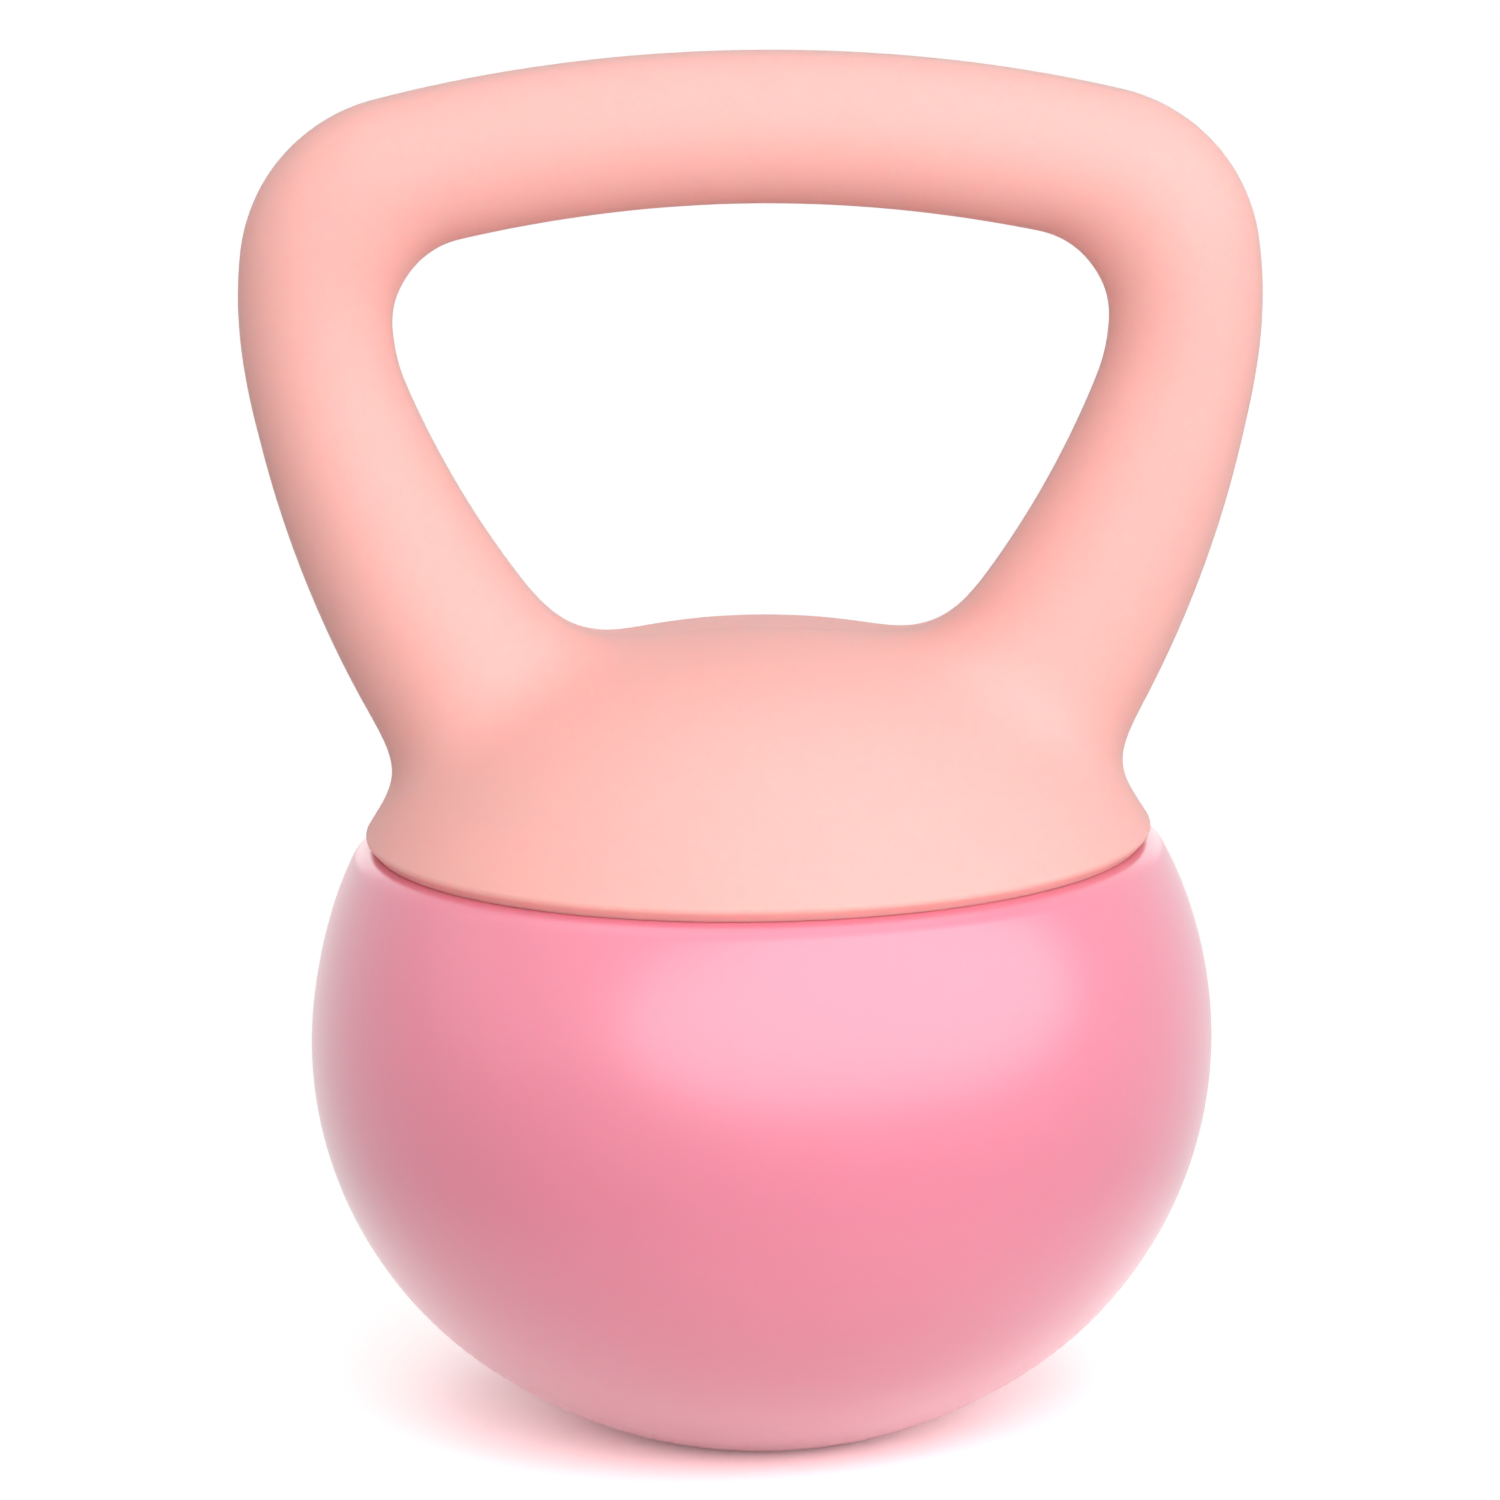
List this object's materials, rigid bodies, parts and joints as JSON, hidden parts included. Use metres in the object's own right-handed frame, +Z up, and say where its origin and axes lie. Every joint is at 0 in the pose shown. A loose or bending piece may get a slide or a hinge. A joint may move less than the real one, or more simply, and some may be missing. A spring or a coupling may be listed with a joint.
{
  "type": "soft kettlebell",
  "caption": "Soft kettlebell: a hollow loop handle and domed cap in two welded shells, clamped on a sand-filled soft ball with a flat foot.",
  "frame": {"origin": "middle of the ball's flat foot, on the surface that it stands on", "axes": "+Z up through the middle of the ball and the handle, +X along the handle's grip, +Y towards the back"},
  "size_m": [0.1906, 0.17, 0.2614],
  "materials": {
    "handle_plastic": "moulded satin, salmon pink",
    "inner_plastic": "moulded matte, inside",
    "ring_plastic": "moulded matte, natural, inside",
    "gasket_rubber": "flat sheet, inside",
    "zinc_screw": "zinc plated, inside",
    "ball_vinyl": "soft satin vinyl, rose pink",
    "iron_sand": "loose dark grit, inside"
  },
  "bodies": {
    "root": {"handle_front_shell": "handle_plastic", "handle_rear_shell": "handle_plastic", "closure_plate": "inner_plastic", "mouth_gasket": "gasket_rubber", "mouth_ring": "ring_plastic", "clamp_screws": "zinc_screw", "ball_skin": "ball_vinyl", "iron_sand_fill": "iron_sand"}
  },
  "joints": []
}
